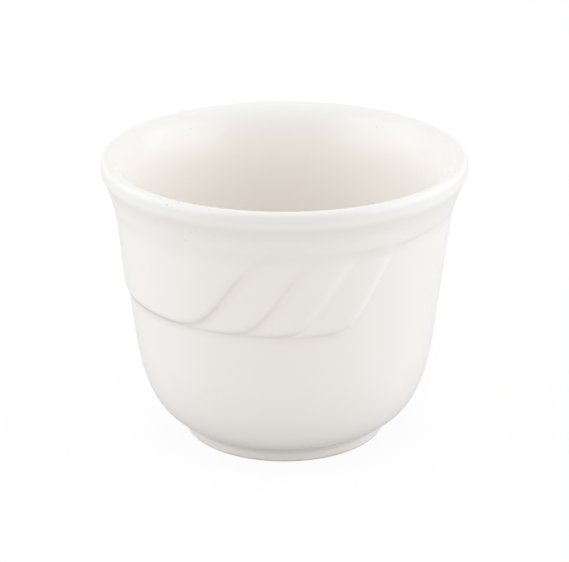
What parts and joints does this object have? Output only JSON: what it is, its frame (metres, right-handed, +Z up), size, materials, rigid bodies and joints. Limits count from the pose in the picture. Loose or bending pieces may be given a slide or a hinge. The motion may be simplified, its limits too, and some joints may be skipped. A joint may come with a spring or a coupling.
{
  "type": "tea cup",
  "caption": "Handleless tea cup: rounded bowl on a turned foot ring, tapering wall with a rolled lip, and a raised drapery collar with leaning pleats round the outside.",
  "frame": {"origin": "middle of the foot ring's underside, on the surface that the cup stands on", "axes": "+Z up through the mouth; -X through the middle of the wide hanging drape; -Y to the front, where the pictured pleats are"},
  "size_m": [0.0762, 0.0762, 0.0608],
  "materials": {
    "glaze": "satin ivory-white glaze on a vitrified white body, with a few pinholes and iron specks",
    "foot": "the same glaze on the sides, wiped off the standing rim to dry, fine, cream-white clay"
  },
  "bodies": {
    "root": {"bowl": "glaze", "foot_ring": "foot", "drape_collar": "glaze", "pleat_front_1": "glaze", "pleat_front_2": "glaze", "pleat_front_3": "glaze", "pleat_back_1": "glaze", "pleat_back_2": "glaze", "pleat_back_3": "glaze"}
  },
  "joints": []
}
